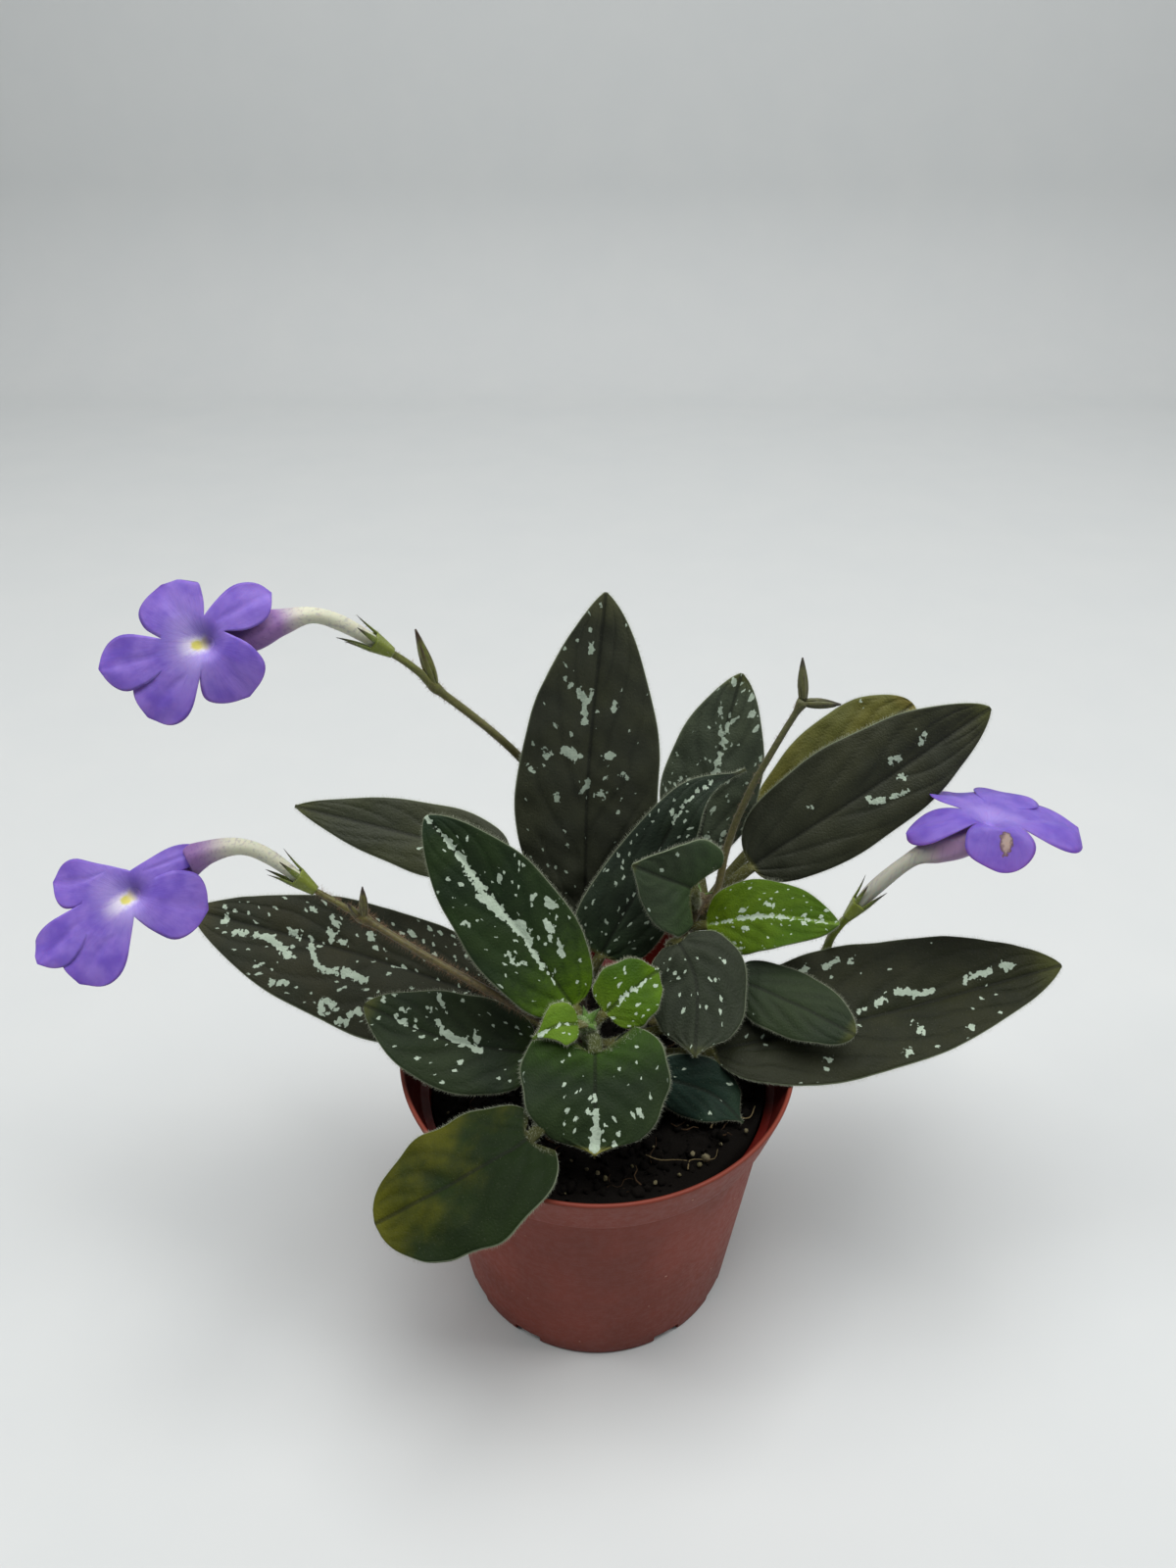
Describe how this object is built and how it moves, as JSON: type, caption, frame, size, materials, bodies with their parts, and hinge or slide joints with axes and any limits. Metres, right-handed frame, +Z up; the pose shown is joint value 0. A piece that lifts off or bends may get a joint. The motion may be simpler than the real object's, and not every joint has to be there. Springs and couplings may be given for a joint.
{
  "type": "potted flowering house plant",
  "caption": "Low hairy house plant with dark silver-marked leaves and violet trumpet flowers, standing in a round tapered nursery pot.",
  "frame": {"origin": "centre of the pot's base, on the surface that it stands on", "axes": "+Z up along the pot's axis; -Y towards the viewer of the front; +X to the viewer's right"},
  "size_m": [0.2547, 0.1193, 0.2102],
  "materials": {
    "pot": "semi-matte moulded terracotta-coloured plastic",
    "peat": "loose dark peat with fibres, matte",
    "stem": "hairy brown-green stem",
    "leaf_dark": "hairy dark grey-green leaf with silver spots",
    "leaf_mid": "hairy green leaf with a silver stripe",
    "leaf_bright": "hairy bright green young leaf with silver spots",
    "leaf_olive": "hairy olive leaf, yellowing in places",
    "stalk": "hairy brown to green flower stalk",
    "calyx": "green with dark narrow tips",
    "petal": "thin satin violet petals, cream tube, yellow throat"
  },
  "bodies": {
    "root": {"pot": "pot", "soil": "peat", "stem_front": "stem", "stem_right": "stem", "stem_back": "stem", "leaf_back_tall": "leaf_dark", "leaf_back_right": "leaf_dark", "leaf_centre_curled": "leaf_dark", "leaf_arrow": "leaf_dark", "leaf_right_bright": "leaf_bright", "leaf_right_oval": "leaf_dark", "leaf_right_small": "leaf_dark", "leaf_right_low": "leaf_dark", "leaf_right_high": "leaf_dark", "leaf_right_olive": "leaf_olive", "leaf_left_back": "leaf_dark", "leaf_left_striped": "leaf_mid", "leaf_tip_left": "leaf_bright", "leaf_tip_right": "leaf_bright", "leaf_left_spotted": "leaf_dark", "leaf_left_centre": "leaf_dark", "leaf_left_small": "leaf_dark", "leaf_front_heart": "leaf_mid", "leaf_front_teal": "leaf_dark", "leaf_front_yellowing": "leaf_olive", "leaf_front_tiny": "leaf_dark", "stalk_upper_left": "stalk", "stalk_left": "stalk", "stalk_right": "stalk", "stalk_back": "stalk", "calyx_upper_left": "calyx", "corolla_upper_left": "petal", "calyx_left": "calyx", "corolla_left": "petal", "calyx_right": "calyx", "corolla_right": "petal"}
  },
  "joints": []
}
